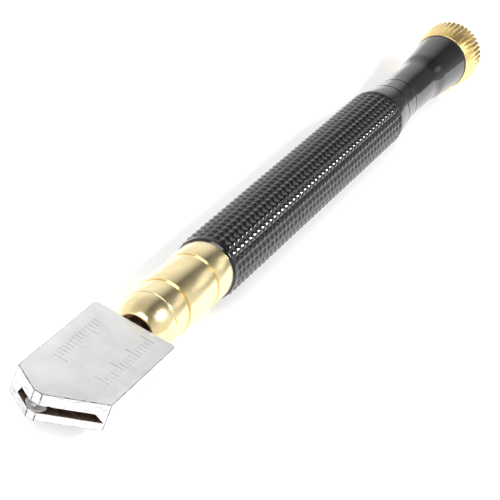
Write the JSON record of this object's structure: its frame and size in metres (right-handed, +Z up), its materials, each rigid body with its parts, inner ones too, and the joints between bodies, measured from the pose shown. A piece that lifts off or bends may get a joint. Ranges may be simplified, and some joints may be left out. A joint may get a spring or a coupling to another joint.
{
  "type": "glass cutter",
  "caption": "Oil-fed pencil-style glass cutter: wide steel head with a slotted wheel, brass ferrule, hollow knurled handle and screw-on brass filler cap.",
  "frame": {"origin": "centre of the footprint, on the surface the tool lies on; the tool's axis is 6.5 mm above it", "axes": "+Y along the tool from the cutting wheel to the cap, +X across the head's width, +Z up, square to the head's flat face"},
  "size_m": [0.0142, 0.182, 0.013],
  "materials": {
    "head_steel": "satin, fine surface grain",
    "carbide": "ground, dark grey",
    "pin_steel": "plain hardened steel",
    "shank_steel": "fine turned",
    "wick_cotton": "twisted cotton, oil-damp",
    "bush_bronze": "reddish bearing bronze",
    "seal_rubber": "matte nitrile",
    "ferrule_brass": "polished turned brass",
    "gasket_fibre": "red fibre",
    "valve_brass": "as turned",
    "spring_steel": "drawn wire",
    "handle_black": "gloss black coating over knurling",
    "cap_brass": "polished turned brass"
  },
  "bodies": {
    "handle": {"ferrule": "ferrule_brass", "swivel_bush": "bush_bronze", "shank_seal": "seal_rubber", "head_retaining_screw": "pin_steel", "ferrule_seal": "seal_rubber", "seat_gasket": "gasket_fibre", "valve_seat": "valve_brass", "spring_retainer": "valve_brass", "valve_spring": "spring_steel", "handle_tube": "handle_black"},
    "valve": {"valve_plunger": "shank_steel", "valve_seal": "seal_rubber"},
    "head": {"head_block": "head_steel", "head_shank": "shank_steel", "shank_pin": "pin_steel", "wheel_axle": "pin_steel", "oil_wick": "wick_cotton"},
    "wheel": {"cutting_wheel": "carbide"},
    "cap_ring": {"cap_seal": "seal_rubber"},
    "cap": {"end_cap": "cap_brass"}
  },
  "joints": [
    {"name": "head_press", "type": "slide", "parent": "handle", "child": "valve", "axis": [0, 1, 0], "range_m": [0, 0.0006], "stiffness_N_per_m": 1500, "springref_m": -0.0015, "deforming": ["valve_spring"]},
    {"name": "head_swivel", "type": "hinge", "parent": "valve", "child": "head", "pos_m": [0, -0.055, 0.0065], "axis": [0, 1, 0], "range_deg": [-8, 8]},
    {"name": "wheel_spin", "type": "hinge", "parent": "head", "child": "wheel", "pos_m": [-0.0019, -0.08925, 0.0062], "axis": [0, 0, 1], "continuous": true},
    {"name": "cap_travel", "type": "slide", "parent": "handle", "child": "cap_ring", "axis": [0, 1, 0], "range_m": [0, 0.00675]},
    {"name": "cap_turn", "type": "hinge", "parent": "cap_ring", "child": "cap", "pos_m": [0, 0.087, 0.0065], "axis": [0, 1, 0], "range_deg": [0, 2520]}
  ],
  "couplings": [
    {"joint": "cap_turn", "follows": "cap_travel", "rad_per_m": 6283.2}
  ]
}
